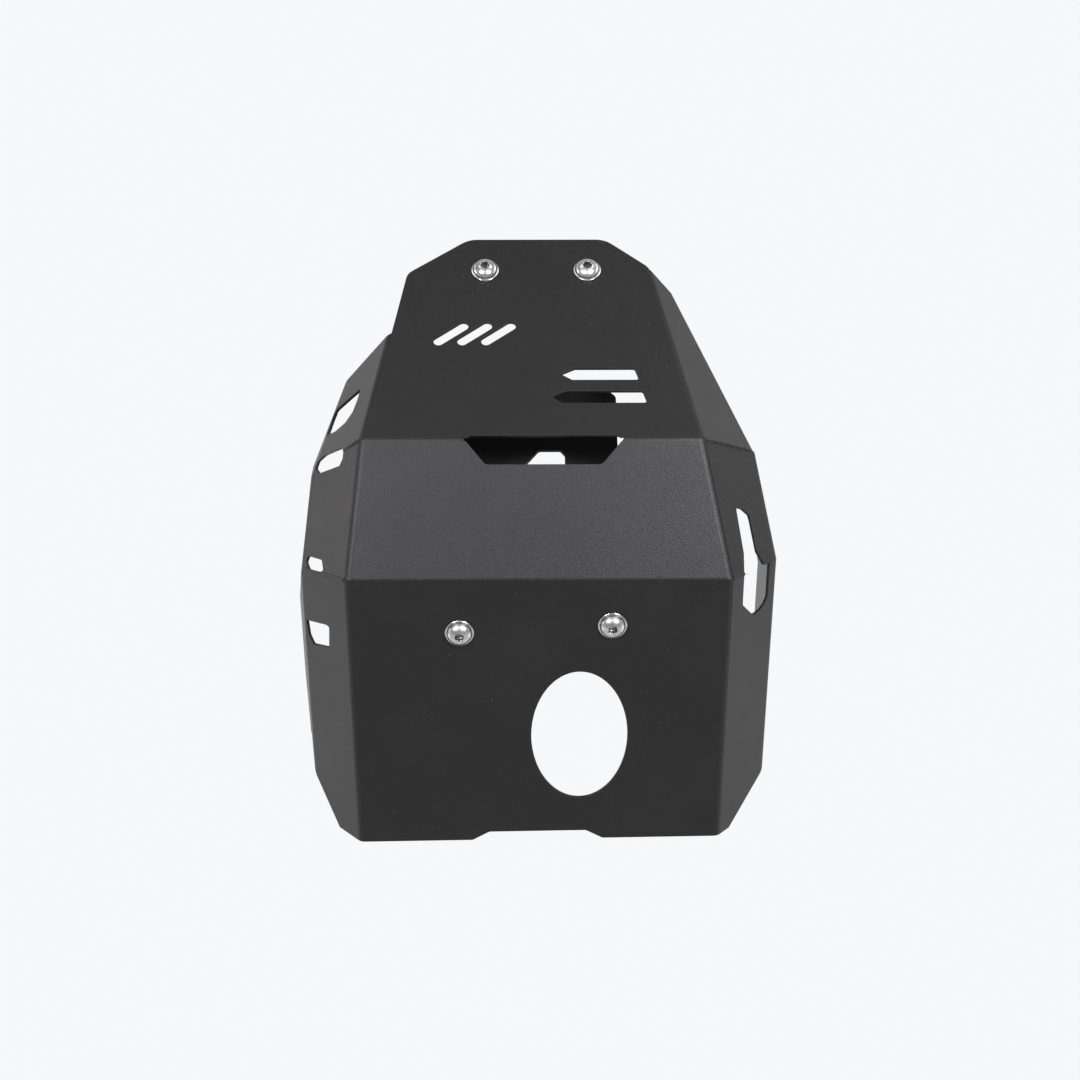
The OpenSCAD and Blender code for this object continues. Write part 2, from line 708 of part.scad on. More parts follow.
// Flanged button-head screw. Its flange rests on z = 0 and the shank points to -z.
// A neck under the head is optional.
module screw(length, neck) {
    top = head_d / 4;
    dome = head_h - head_flange_t;
    bend = head_d / 2 - top;
    tip = 0.8;
    difference() {
        union() {
            rotate_extrude() polygon(concat(
                [[0, 0], [head_flange_d / 2 - 0.3, 0], [head_flange_d / 2, 0.3],
                [head_flange_d / 2, head_flange_t - 0.3], [head_flange_d / 2 - 0.3, head_flange_t]],
                [for (i = [0:8]) let(t = i * 11.25) [top + bend * cos(t), head_flange_t + dome * sin(t)]],
                [[0, head_h]]
            ));
            rotate_extrude() polygon(concat(
                [[0, -length], [screw_d / 2 - tip, -length], [screw_d / 2, tip - length]],
                neck > 0
                    ? [[screw_d / 2, -neck - tip], [neck_d / 2, -neck], [neck_d / 2, 0.5]]
                    : [[screw_d / 2, 0.5]],
                [[0, 0.5]]
            ));
        }
        translate([0, 0, head_h - socket_depth])
            cylinder(socket_depth + 1, r = socket_af / sqrt(3), $fn = 6);
        translate([0, 0, head_h - socket_depth - 1]) cylinder(1.01, r1 = 0, r2 = socket_af / 2 - 0.1);
    }
}

// Hexagon weld nut, its welded face at z = -at and its chamfered face away from the sheet
module nut(at, h, af) {
    translate([0, 0, -at - h]) difference() {
        intersection() {
            cylinder(h, r = af / sqrt(3), $fn = 6);
            rotate_extrude() polygon([
                [0, 0], [af / 2, 0], [af / 2 + 1.3, 0.75], [af / 2 + 1.3, h], [0, h]
            ]);
        }
        translate([0, 0, -1]) cylinder(h + 2, d = thread_d);
    }
}

// Places a part on the front panel, or on the belly panel, of one side
module at_front(side) {
    p = front_screws[side == left ? 0 : 1];
    on_panel(front_tilt, slope_end) translate([p[0], p[1], 0]) rotate(by(side, 17, 41)) children();
}

module at_rear(side) {
    on_panel(0, [side * rear_screw_half, rear_screw_at, 0]) rotate(by(side, 8, 52)) children();
}

module front_screw(side) {
    color(bright) at_front(side) screw(front_screw_len, 0);
}

module rear_screw(side) {
    color(bright) at_rear(side) screw(rear_screw_len, neck_len);
}

module front_nut(side) {
    color(bright) at_front(side) nut(sheet_t + bracket_t, weld_nut_h, nut_af);
}

module rear_washer(side) {
    color(bright) at_rear(side) translate([0, 0, -sheet_t - washer_t]) difference() {
        cylinder(washer_t, d = washer_d);
        translate([0, 0, -1]) cylinder(washer_t + 2, d = neck_d + 0.4);
    }
}

module front_screw_left() { front_screw(left); }
module front_screw_right() { front_screw(right); }
module rear_screw_left() { rear_screw(left); }
module rear_screw_right() { rear_screw(right); }
module front_nut_left() { front_nut(left); }
module front_nut_right() { front_nut(right); }
module rear_washer_left() { rear_washer(left); }
module rear_washer_right() { rear_washer(right); }

// The origin is the midpoint of the frame holes on the bracket's upper face
translate([0, -frame_hole_at, -bracket_z - bracket_t]) {
    guard_plate();
    front_bracket();
    front_screw_left();
    front_screw_right();
    rear_screw_left();
    rear_screw_right();
    front_nut_left();
    front_nut_right();
    rear_washer_left();
    rear_washer_right();
}
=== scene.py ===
"""Looks of the motorcycle skid plate: coated sheet, weld beads, screws, weld nuts and washers.

Everything is in metres in the row frame: X to the rider's left, Y to the rear wheel, Z up.
"""
import logging
import math
from dataclasses import dataclass, field
from enum import Enum

import bmesh
import bpy
import numpy as np
from mathutils import Euler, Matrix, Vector
from mathutils.bvhtree import BVHTree


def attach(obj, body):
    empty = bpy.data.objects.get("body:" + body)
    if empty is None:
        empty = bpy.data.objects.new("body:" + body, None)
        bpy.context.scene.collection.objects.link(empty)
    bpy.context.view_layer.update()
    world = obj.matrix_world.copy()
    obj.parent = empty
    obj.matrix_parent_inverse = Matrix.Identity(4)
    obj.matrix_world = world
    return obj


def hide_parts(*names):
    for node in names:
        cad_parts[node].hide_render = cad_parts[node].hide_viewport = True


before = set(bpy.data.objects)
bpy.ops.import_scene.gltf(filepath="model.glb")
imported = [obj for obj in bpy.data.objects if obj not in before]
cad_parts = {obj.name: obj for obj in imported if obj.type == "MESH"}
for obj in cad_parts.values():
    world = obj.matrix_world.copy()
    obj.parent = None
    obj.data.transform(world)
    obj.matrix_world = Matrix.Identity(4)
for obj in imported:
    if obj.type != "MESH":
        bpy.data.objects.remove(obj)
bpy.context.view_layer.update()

LOG = logging.getLogger("skid_plate")
MM = 0.001
# Decimal places, in metres, to which the CAD mesh's loose corners are joined
JOIN_DIGITS = 6
# Faces that meet at less than this angle, in degrees, count as one flat
FLAT_ANGLE = 0.25

Colour = tuple[float, float, float, float]


class Side(Enum):
    """The two sides of the guard, by the sign of X."""

    LEFT = 1
    RIGHT = -1


class Slot(Enum):
    """The record's material slots."""

    GUARD = "guard_coat"
    BRACKET = "bracket_coat"
    SCREW = "screw_steel"
    NUT = "nut_steel"
    WASHER = "washer_nylon"


# ---- meshes from arrays


def unit(v: np.ndarray) -> np.ndarray:
    """Returns v over its length, row by row."""
    return v / np.linalg.norm(v, axis=-1, keepdims=True)


def object_from(name: str, points: np.ndarray, quads: np.ndarray, tris: np.ndarray,
                crease: float) -> bpy.types.Object:
    """Makes an object from points, four-sided faces and triangles, its faces pointing outwards.

    The enclosed volume is the sum over triangles of a . (b x c) / 6. Where it comes out negative,
    every face is turned round.

    Args:
        name: The piece's name.
        points: (n, 3) places in metres.
        quads: (m, 4) point numbers.
        tris: (k, 3) point numbers.
        crease: Edges sharper than this angle, in degrees, stay sharp.

    Returns:
        The object, linked to the scene.
    """
    fans = np.concatenate([quads[:, [0, 1, 2]], quads[:, [0, 2, 3]], tris])
    a, b, c = (points[fans[:, k]] for k in range(3))
    if np.einsum("ij,ij->", a, np.cross(b, c)) < 0:
        quads, tris = quads[:, ::-1], tris[:, ::-1]
    mesh = bpy.data.meshes.new(name)
    mesh.from_pydata(points.tolist(), [], quads.tolist() + tris.tolist())
    mesh.validate()
    mesh.polygons.foreach_set("use_smooth", np.ones(len(mesh.polygons), bool))
    mesh.set_sharp_from_angle(angle=math.radians(crease))
    piece = bpy.data.objects.new(name, mesh)
    bpy.context.scene.collection.objects.link(piece)
    return piece


def skin(name: str, rings: np.ndarray, crease: float = 30, loop: bool = False) -> bpy.types.Object:
    """Makes a closed skin through rings of points.

    The surface is P(i, j), ring i and place j round it. A face joins (i, j), (i + 1, j),
    (i + 1, j + 1) and (i, j + 1). An open run of rings is shut by one pole at the mean of each
    end ring; a loop joins its last ring to its first.

    Args:
        name: The piece's name.
        rings: (rings, places, 3) places in metres.
        crease: Edges sharper than this angle, in degrees, stay sharp.
        loop: True if the rings run round in a loop, as in a washer.

    Returns:
        The object.
    """
    m, n = rings.shape[:2]
    grid = np.arange(m * n).reshape(m, n)
    lower = grid if loop else grid[:-1]
    upper = np.roll(grid, -1, 0) if loop else grid[1:]
    quads = np.stack([lower, upper, np.roll(upper, -1, 1), np.roll(lower, -1, 1)], -1)
    quads = quads.reshape(-1, 4)
    points = rings.reshape(-1, 3)
    tris = np.zeros((0, 3), int)
    if not loop:
        poles = np.stack([rings[0].mean(0), rings[-1].mean(0)])
        points = np.concatenate([points, poles])
        first, last = grid[0], grid[-1]
        tris = np.concatenate([
            np.stack([np.full(n, m * n), first, np.roll(first, -1)], -1),
            np.stack([np.full(n, m * n + 1), np.roll(last, -1), last], -1),
        ])
    return object_from(name, points, quads, tris, crease)


def hexagon(turn: np.ndarray, flats: float, corner: float) -> np.ndarray:
    """Radius of a hexagon at each angle, its corners cut at a largest radius.

    The radius is half the width across the flats over the cosine of the angle to the nearest
    flat's middle, and no more than the corner radius.

    Args:
        turn: Angles in radians, with a corner at 0.
        flats: Width across the flats.
        corner: Largest radius.

    Returns:
        The radius at each angle.
    """
    off = np.mod(turn, math.pi / 3) - math.pi / 6
    return np.minimum(flats / 2 / np.cos(off), corner)


def revolve(profile: list[tuple], places: int) -> np.ndarray:
    """Turns a profile round the z axis into rings.

    P(i, j) = (r_i(t_j) cos t_j, r_i(t_j) sin t_j, z_i(t_j)), where r_i and z_i are numbers or
    arrays over the angles t_j.

    Args:
        profile: (radius, height) pairs, each a number or an array with one value per place.
        places: Places round each ring.

    Returns:
        (rings, places, 3) places.
    """
    turn = np.arange(places) * 2 * math.pi / places
    radius = np.stack([np.broadcast_to(r, places) for r, _ in profile])
    height = np.stack([np.broadcast_to(z, places) for _, z in profile])
    return np.stack([radius * np.cos(turn), radius * np.sin(turn), height], -1)


@dataclass(frozen=True)
class Seat:
    """The place of a fastener: its centre on the sheet's outer face, in mm, and two angles."""

    centre: tuple[float, float, float]
    tilt: float
    turn: float

    def place(self, local: np.ndarray) -> np.ndarray:
        """Carries points from the fastener's own axes to the row frame.

        The own z axis leaves the guard, x is the rider's left turned by `turn` round z, and the
        sheet is tilted by `tilt` from the belly. P = centre + x p_x + y p_y + z p_z.

        Args:
            local: (..., 3) points in millimetres in the fastener's own axes.

        Returns:
            The same points in metres in the row frame.
        """
        t, w = math.radians(self.tilt), math.radians(self.turn)
        across = np.array([1.0, 0.0, 0.0])
        ahead = np.array([0.0, -math.cos(t), math.sin(t)])
        out = -np.array([0.0, math.sin(t), math.cos(t)])
        axes = np.stack([math.cos(w) * across + math.sin(w) * ahead,
                         -math.sin(w) * across + math.cos(w) * ahead, out])
        return (np.array(self.centre) + local @ axes) * MM


def merged_copy(node: str, name: str) -> bpy.types.Object:
    """Copies a CAD node's mesh with its loose triangles joined into one skin.

    Args:
        node: The CAD node.
        name: The new piece's name.

    Returns:
        The new object.
    """
    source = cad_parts[node].data
    points = np.empty(len(source.vertices) * 3)
    source.vertices.foreach_get("co", points)
    corners = np.empty(len(source.loops), int)
    source.loops.foreach_get("vertex_index", corners)
    _, first, number = np.unique(np.round(points.reshape(-1, 3), JOIN_DIGITS), axis=0,
                                 return_index=True, return_inverse=True)
    faces = number.reshape(-1)[corners].reshape(-1, 3)
    a, b, c = faces.T
    whole = (a != b) & (b != c) & (c != a)
    mesh = bpy.data.meshes.new(name)
    mesh.from_pydata(points.reshape(-1, 3)[first].tolist(), [], faces[whole].tolist())
    piece = bpy.data.objects.new(name, mesh)
    bpy.context.scene.collection.objects.link(piece)
    return piece


def soften(piece: bpy.types.Object, radius: float, crease: float) -> None:
    """Rounds the cut edges of a sheet piece by a small radius and keeps its flats flat.

    Args:
        piece: The object, with a merged mesh.
        radius: Radius of the rounded edges, in metres.
        crease: Edges sharper than this angle, in degrees, are rounded.
    """
    form = bmesh.new()
    form.from_mesh(piece.data)
    bmesh.ops.dissolve_limit(form, angle_limit=math.radians(FLAT_ANGLE), verts=form.verts,
                             edges=form.edges)
    form.to_mesh(piece.data)
    form.free()
    piece.data.polygons.foreach_set("use_smooth", np.ones(len(piece.data.polygons), bool))
    bevel = piece.modifiers.new("rounded edges", "BEVEL")
    bevel.width = radius
    bevel.segments = 2
    bevel.limit_method = "ANGLE"
    bevel.angle_limit = math.radians(crease)
    bevel.use_clamp_overlap = False
    bevel.miter_outer = "MITER_SHARP"
    flats = piece.modifiers.new("flat faces", "WEIGHTED_NORMAL")
    flats.mode = "FACE_AREA"
    flats.weight = 100


# ---- materials


class Nodes:
    """A small hand for building a node tree."""

    def __init__(self, tree: bpy.types.NodeTree) -> None:
        """Keeps the tree."""
        self.tree = tree

    def add(self, kind: str, links: dict[str | int, object] | None = None,
            **settings: object) -> bpy.types.Node:
        """Adds a node, sets its properties and fills its inputs.

        Args:
            kind: The node's type name, without ShaderNode where it has that.
            links: Input name or number to a socket or a plain value.
            **settings: The node's properties.

        Returns:
            The node.
        """
        node = self.tree.nodes.new(kind if kind.startswith("Node") else "ShaderNode" + kind)
        for key, value in settings.items():
            setattr(node, key, value)
        for key, value in (links or {}).items():
            if isinstance(value, bpy.types.NodeSocket):
                self.tree.links.new(value, node.inputs[key])
            else:
                node.inputs[key].default_value = value
        return node

    def mix(self, share: object, a: object, b: object) -> bpy.types.NodeSocket:
        """Mixes two colours; a share of 0 is the first."""
        node = self.add("Mix", {0: share, 6: a, 7: b}, data_type="RGBA")
        return node.outputs[2]

    def spread(self, value: object, low: float, high: float, to_low: float = 0.0,
               to_high: float = 1.0) -> bpy.types.NodeSocket:
        """Maps a value from one range to another, held at both ends."""
        node = self.add("MapRange", {0: value, 1: low, 2: high, 3: to_low, 4: to_high}, clamp=True)
        return node.outputs[0]

    def math(self, operation: str, a: object, b: object) -> bpy.types.NodeSocket:
        """Returns one arithmetic step."""
        return self.add("Math", {0: a, 1: b}, operation=operation).outputs[0]


def group_of(name: str, inputs: dict[str, str], outputs: dict[str, str]) -> tuple:
    """Starts a node group with named sockets.

    Args:
        name: The group's name.
        inputs: Socket name to kind, where a kind is Vector or Float.
        outputs: The same for the sockets that come out.

    Returns:
        The group, its Nodes hand, its input node and its output node.
    """
    tree = bpy.data.node_groups.new(name, "ShaderNodeTree")
    for way, sockets in (("INPUT", inputs), ("OUTPUT", outputs)):
        for title, kind in sockets.items():
            tree.interface.new_socket(title, in_out=way, socket_type="NodeSocket" + kind)
    hand = Nodes(tree)
    return tree, hand, hand.add("NodeGroupInput"), hand.add("NodeGroupOutput")


# The range that holds most of a noise texture's values
NOISE_RANGE = (0.3, 0.7)
# Scales of the coat's coarser patterns, as shares of the fine grain's scale
PIMPLE_SCALE, SWELL_SCALE, MOTTLE_SCALE = 0.62, 0.11, 0.014
# Weights of the three patterns that make up the grain's height
PIMPLE_WEIGHT, FINE_WEIGHT, SWELL_WEIGHT = 0.25, 0.9, 0.2


def coat_grain_group() -> bpy.types.NodeTree:
    """Builds the grain of a textured coat: fine pimples, a slow swell, and mottled tone.

    Returns:
        The group, with Place and Scale in, and Height, Tone and Mottle out.
    """
    tree, hand, given, put = group_of("coat_grain", {"Place": "Vector", "Scale": "Float"},
                                      {"Height": "Float", "Tone": "Float", "Mottle": "Float"})
    place, scale = given.outputs[0], given.outputs[1]
    fine = hand.add("TexNoise", {"Vector": place, "Scale": scale, "Detail": 3.0, "Roughness": 0.6})
    cells = hand.add("TexVoronoi", {
        "Vector": place, "Scale": hand.math("MULTIPLY", scale, PIMPLE_SCALE)}, feature="SMOOTH_F1")
    swell = hand.add("TexNoise", {
        "Vector": place, "Scale": hand.math("MULTIPLY", scale, SWELL_SCALE), "Detail": 2.0})
    slow = hand.add("TexNoise", {
        "Vector": place, "Scale": hand.math("MULTIPLY", scale, MOTTLE_SCALE), "Detail": 4.0,
        "Roughness": 0.62})
    pimples = hand.math("SUBTRACT", 1.0, hand.spread(cells.outputs["Distance"], 0.0, 0.75))
    rough = hand.math("ADD", hand.math("MULTIPLY", pimples, PIMPLE_WEIGHT),
                      hand.math("MULTIPLY", fine.outputs[0], FINE_WEIGHT))
    height = hand.math("ADD", rough, hand.math("MULTIPLY", swell.outputs[0], SWELL_WEIGHT))
    hand.tree.links.new(height, put.inputs["Height"])
    hand.tree.links.new(hand.spread(fine.outputs[0], *NOISE_RANGE), put.inputs["Tone"])
    hand.tree.links.new(hand.spread(slow.outputs[0], *NOISE_RANGE), put.inputs["Mottle"])
    return tree


def handling_group() -> bpy.types.NodeTree:
    """Builds the faint traces of handling: smears that change the gloss, and sparse dust specks.

    The smears are a noise drawn out along one way. The specks are the middles of small cells,
    kept only where a second, slower noise is high.

    Returns:
        The group, with Place in, and Smear and Dust out.
    """
    tree, hand, given, put = group_of("handling", {"Place": "Vector"},
                                      {"Smear": "Float", "Dust": "Float"})
    place = given.outputs[0]
    drawn = hand.add("Mapping", {
        "Vector": place, "Rotation": (0.3, 0.2, 0.9), "Scale": (9.0, 38.0, 14.0)})
    smear = hand.add("TexNoise", {
        "Vector": drawn.outputs[0], "Scale": 1.0, "Detail": 5.0, "Distortion": 0.6})
    specks = hand.add("TexVoronoi", {"Vector": place, "Scale": 210.0}, feature="F1")
    thin = hand.add("TexNoise", {"Vector": place, "Scale": 46.0, "Detail": 2.0})
    dots = hand.spread(specks.outputs["Distance"], 0.03, 0.1, 1.0, 0.0)
    dust = hand.math("MULTIPLY", dots, hand.spread(thin.outputs[0], 0.52, 0.6))
    hand.tree.links.new(hand.spread(smear.outputs[0], 0.42, 0.72), put.inputs["Smear"])
    hand.tree.links.new(dust, put.inputs["Dust"])
    return tree


def lathe_group() -> bpy.types.NodeTree:
    """Builds turned marks: fine lines that follow the `turned` attribute, the way along a profile.

    Returns:
        The group, with Place and Pitch in, and Height, Shade and Stain out.
    """
    tree, hand, given, put = group_of("turned_marks", {"Place": "Vector", "Pitch": "Float"},
                                      {"Height": "Float", "Shade": "Float", "Stain": "Float"})
    place, pitch = given.outputs[0], given.outputs[1]
    way = hand.add("Attribute", attribute_name="turned")
    lines = hand.add("TexNoise", {
        "W": hand.math("MULTIPLY", way.outputs["Fac"], pitch), "Scale": 1.0, "Detail": 3.0},
        noise_dimensions="1D")
    cloud = hand.add("TexNoise", {
        "Vector": place, "Scale": 420.0, "Detail": 4.0, "Roughness": 0.65})
    hand.tree.links.new(lines.outputs[0], put.inputs["Height"])
    hand.tree.links.new(hand.spread(lines.outputs[0], *NOISE_RANGE), put.inputs["Shade"])
    hand.tree.links.new(hand.spread(cloud.outputs[0], 0.4, 0.7), put.inputs["Stain"])
    return tree


def new_material(
        name: str) -> tuple[bpy.types.Material, Nodes, bpy.types.Node, bpy.types.NodeSocket]:
    """Starts a material.

    Args:
        name: The material's name.

    Returns:
        The material, its Nodes hand, its Principled BSDF and the Object coordinates.
    """
    material = bpy.data.materials.new(name)
    material.use_nodes = True
    hand = Nodes(material.node_tree)
    shader = material.node_tree.nodes["Principled BSDF"]
    place = hand.add("TexCoord").outputs["Object"]
    return material, hand, shader, place


# How far the coat's tone follows its fine grain, the rest being the slow mottle
GRAIN_SHARE = 0.6
# How far the steel's tone follows its turned marks, the rest being a cloudy stain
MARK_SHARE = 0.45
# Tones of the dust on the coat and of the darkening in a recess, which is painted shade and grime
# in one, and how far that darkening covers
DUST_COLOUR: Colour = (0.16, 0.155, 0.15, 1.0)
SOCKET_SHADE_AND_GRIME_COLOUR: Colour = (0.035, 0.027, 0.024, 1.0)
SOCKET_SHADE_AND_GRIME_SHARE = 0.6


@dataclass(frozen=True)
class CoatFinish:
    """A matte textured coat, its tones and gloss mottled between two ends, its grain in mm."""

    name: str
    dark: Colour
    light: Colour
    rough_low: float
    rough_high: float
    specular: float
    grain_scale: float
    grain_height: float
    dust: float

    def build(self, grain: bpy.types.NodeTree, handling: bpy.types.NodeTree) -> bpy.types.Material:
        """Makes the material.

        Args:
            grain: The coat_grain group.
            handling: The handling group.

        Returns:
            The material.
        """
        material, hand, shader, place = new_material(self.name)
        coat = hand.add("Group", node_tree=grain)
        hand.tree.links.new(place, coat.inputs["Place"])
        coat.inputs["Scale"].default_value = self.grain_scale
        worn = hand.add("Group", {0: place}, node_tree=handling)
        tone = hand.math("ADD", hand.math("MULTIPLY", coat.outputs["Tone"], GRAIN_SHARE),
                         hand.math("MULTIPLY", coat.outputs["Mottle"], 1 - GRAIN_SHARE))
        colour = hand.mix(tone, self.dark, self.light)
        dusty = hand.mix(hand.math("MULTIPLY", worn.outputs["Dust"], self.dust), colour,
                         DUST_COLOUR)
        gloss = hand.math("ADD", hand.math("MULTIPLY", coat.outputs["Mottle"], 0.5),
                          hand.math("MULTIPLY", worn.outputs["Smear"], 0.5))
        hand.tree.links.new(dusty, shader.inputs["Base Color"])
        hand.tree.links.new(hand.spread(gloss, 0.0, 1.0, self.rough_high, self.rough_low),
                            shader.inputs["Roughness"])
        shader.inputs["Specular IOR Level"].default_value = self.specular
        bump = hand.add("Bump", {"Height": coat.outputs["Height"], "Strength": 0.8,
                                 "Distance": self.grain_height * MM})
        hand.tree.links.new(bump.outputs[0], shader.inputs["Normal"])
        return material


@dataclass(frozen=True)
class SteelFinish:
    """Bare or plated steel with turned marks, and a darker base colour as far along the profile as
    a recess, which is painted shade and grime in one.

    The marks' pitch is in lines per mm of the way along the profile, and their height and the
    recess's end on that way are in mm. A recess of 0 means that the piece has no painted shade or
    grime.
    """

    name: str
    dark: Colour
    light: Colour
    rough_low: float
    rough_high: float
    pitch: float
    mark_height: float
    recess: float

    def build(self, lathe: bpy.types.NodeTree, handling: bpy.types.NodeTree) -> bpy.types.Material:
        """Makes the material.

        Args:
            lathe: The turned_marks group.
            handling: The handling group.

        Returns:
            The material.
        """
        material, hand, shader, place = new_material(self.name)
        marks = hand.add("Group", node_tree=lathe)
        hand.tree.links.new(place, marks.inputs["Place"])
        marks.inputs["Pitch"].default_value = self.pitch
        worn = hand.add("Group", {0: place}, node_tree=handling)
        shade = hand.math("ADD", hand.math("MULTIPLY", marks.outputs["Shade"], MARK_SHARE),
                          hand.math("MULTIPLY", marks.outputs["Stain"], 1 - MARK_SHARE))
        # Painted shade and grime: the base colour is darkened inside the recess, out to its end
        # along the profile
        way = hand.add("Attribute", attribute_name="turned").outputs["Fac"]
        share = SOCKET_SHADE_AND_GRIME_SHARE if self.recess else 0.0
        shade_and_grime = hand.spread(way, self.recess - 0.8, self.recess + 0.2, share, 0.0)
        steel = hand.mix(shade, self.light, self.dark)
        hand.tree.links.new(hand.mix(shade_and_grime, steel, SOCKET_SHADE_AND_GRIME_COLOUR), shader.inputs["Base Color"])
        gloss = hand.math("ADD", hand.math("MULTIPLY", marks.outputs["Shade"], 0.5),
                          hand.math("MULTIPLY", worn.outputs["Smear"], 0.5))
        hand.tree.links.new(hand.spread(gloss, 0.0, 1.0, self.rough_low, self.rough_high),
                            shader.inputs["Roughness"])
        shader.inputs["Metallic"].default_value = 1.0
        bump = hand.add("Bump", {"Height": marks.outputs["Height"], "Strength": 0.5,
                                 "Distance": self.mark_height * MM})
        hand.tree.links.new(bump.outputs[0], shader.inputs["Normal"])
        return material


class Finishes:
    """Every finish of the part, built once."""

    def __init__(self) -> None:
        """Builds the node groups and the materials."""
        grain, handling, lathe = coat_grain_group(), handling_group(), lathe_group()
        self.guard = CoatFinish(
            "guard powder coat", dark=(0.004, 0.004, 0.0042, 1), light=(0.0078, 0.0076, 0.0076, 1),
            rough_low=0.42, rough_high=0.46, specular=0.275, grain_scale=1500.0, grain_height=0.2,
            dust=0.3).build(grain, handling)
        self.weld = CoatFinish(
            "coated weld bead", dark=(0.0045, 0.0045, 0.0047, 1),
            light=(0.0085, 0.0083, 0.0082, 1), rough_low=0.4, rough_high=0.47, specular=0.29,
            grain_scale=1400.0, grain_height=0.15, dust=0.3).build(grain, handling)
        self.bracket = CoatFinish(
            "bracket coat", dark=(0.007, 0.007, 0.0075, 1), light=(0.013, 0.013, 0.013, 1),
            rough_low=0.48, rough_high=0.6, specular=0.16, grain_scale=3000.0, grain_height=0.04,
            dust=0.2).build(grain, handling)
        # The screw's socket recess gets painted shade and grime in its base colour
        self.screw = SteelFinish(
            "bright screw steel", dark=(0.3, 0.29, 0.29, 1), light=(0.62, 0.615, 0.62, 1),
            rough_low=0.22, rough_high=0.34, pitch=9.0, mark_height=0.004,
            recess=6.4).build(lathe, handling)
        self.nut = SteelFinish(
            "zinc-plated steel", dark=(0.4, 0.4, 0.39, 1), light=(0.6, 0.605, 0.6, 1),
            rough_low=0.3, rough_high=0.46, pitch=6.0, mark_height=0.006,
            recess=0.0).build(lathe, handling)
        self.washer = CoatFinish(
            "black nylon", dark=(0.012, 0.012, 0.012, 1), light=(0.019, 0.019, 0.019, 1),
            rough_low=0.42, rough_high=0.55, specular=0.3, grain_scale=1500.0, grain_height=0.012,
            dust=0.2).build(grain, handling)


def dress(piece: bpy.types.Object, finish: bpy.types.Material, slot: Slot, *nodes: str) -> None:
    """Gives a piece its finish and its body, and hides the CAD nodes that it stands for.

    Args:
        piece: The object.
        finish: Its material.
        slot: The record's slot; not used.
        *nodes: The CAD nodes that it replaces, if any.
    """
    piece.data.materials.clear()
    piece.data.materials.append(finish)
    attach(piece, "root")
    if nodes:
        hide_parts(*nodes)
    LOG.info("%s: %d points, %d faces", piece.name, len(piece.data.vertices),
             len(piece.data.polygons))


# ---- the folded guard and its welds


@dataclass(frozen=True)
class Seam:
    """A mitred corner between two flanges, in mm.

    It has a start, a way and an outward normal. Its bead lies between two places on the way and
    has its own height.
    """

    name: str
    start: tuple[float, float, float]
    way: tuple[float, float, float]
    normal: tuple[float, float, float]
    first: float
    last: float
    height: float


@dataclass
class WeldBeads:
    """Low hand-laid beads that follow the guard's outer face along each mitred corner, in mm."""

    width: float = 1.7
    ripple: float = 1.6
    step: float = 0.25
    sides: int = 20
    lift: float = 8.0
    reach: float = 30.0
    end_taper: float = 2.5
    seams: tuple[Seam, ...] = (
        Seam("left_rear", start=(107.0, -55.0, -57.0), way=(0.678, 0.071, 0.730),
             normal=(0.734, -0.086, -0.674), first=2.0, last=14.0, height=0.5),
        Seam("left_front", start=(116.0, -129.1, -13.352), way=(0.674, 0.524, 0.521),
             normal=(0.738, -0.456, -0.497), first=2.0, last=43.0, height=0.25),
        Seam("right_rear", start=(-100.5, -55.0, -57.0), way=(-0.754, 0.233, 0.613),
             normal=(-0.643, -0.073, -0.762), first=2.0, last=44.0, height=0.5),
        Seam("right_front", start=(-117.5, -129.1, -13.352), way=(-0.692, 0.584, 0.424),
             normal=(-0.711, -0.451, -0.540), first=2.0, last=14.0, height=0.25),
    )

    def path(self, seam: Seam, tree: BVHTree) -> tuple[np.ndarray, np.ndarray]:
        """Drops points from outside onto the guard along one seam.

        The point at way s starts at start + s way, lifted along the normal, and moves against the
        normal until it meets the sheet. The seam's own wobble is two slow waves across the way.

        Args:
            seam: The seam.
            tree: The guard's surface.

        Returns:
            (n, 3) places on the sheet in millimetres, and the way s of each.
        """
        normal = unit(np.array(seam.normal))
        way = unit(np.array(seam.way))
        across = np.cross(normal, way)
        s = np.arange(seam.first, seam.last, self.step)
        wobble = 0.22 * np.sin(s * 0.9 + seam.start[0]) + 0.14 * np.sin(s * 2.3 + 1.0)
        line = np.array(seam.start) + s[:, None] * way
        lifted = line + wobble[:, None] * across + self.lift * normal
        hits = [tree.ray_cast(Vector(p * MM), Vector(-normal), self.reach * MM)[0] for p in lifted]
        kept = [i for i, h in enumerate(hits) if h is not None]
        return np.array([hits[i] for i in kept]) / MM, s[kept]

    def bead(self, seam: Seam, tree: BVHTree) -> bpy.types.Object:
        """Carries an oval section along the seam.

        Ring i, place j: P = path_i + w_i cos(t_j) across + h_i sin(t_j) normal. The height is the
        seam's height times a row of round ripples, |cos| to the power 0.4 of the way over the
        ripple length. Both sizes vary slowly and fall almost to nothing at the ends, as a square
        root.

        Args:
            seam: The seam.
            tree: The guard's surface.

        Returns:
            The bead.
        """
        path, s = self.path(seam, tree)
        normal = unit(np.array(seam.normal))
        way = unit(np.gradient(path, axis=0))
        across = unit(np.cross(normal, way))
        up = np.cross(way, across)
        from_end = np.minimum(s - s[0], s[-1] - s)
        fade = np.sqrt(np.clip(from_end / self.end_taper, 0.0, 1.0)) + 0.02
        ripples = np.abs(np.cos(math.pi * (s / self.ripple + 0.35 * np.sin(s * 0.7)))) ** 0.4
        uneven = 1 + 0.16 * np.sin(s * 0.55 + seam.start[0]) + 0.1 * np.sin(s * 1.7)
        high = seam.height * (0.62 + 0.38 * ripples) * uneven * fade
        wide = self.width / 2 * (0.9 + 0.1 * ripples) * uneven * fade
        turn = np.arange(self.sides) * 2 * math.pi / self.sides
        rings = (path[:, None] + (wide[:, None] * np.cos(turn))[..., None] * across[:, None]
                 + (high[:, None] * np.sin(turn))[..., None] * up[:, None])
        return skin("weld_bead_" + seam.name, rings * MM, crease=60)


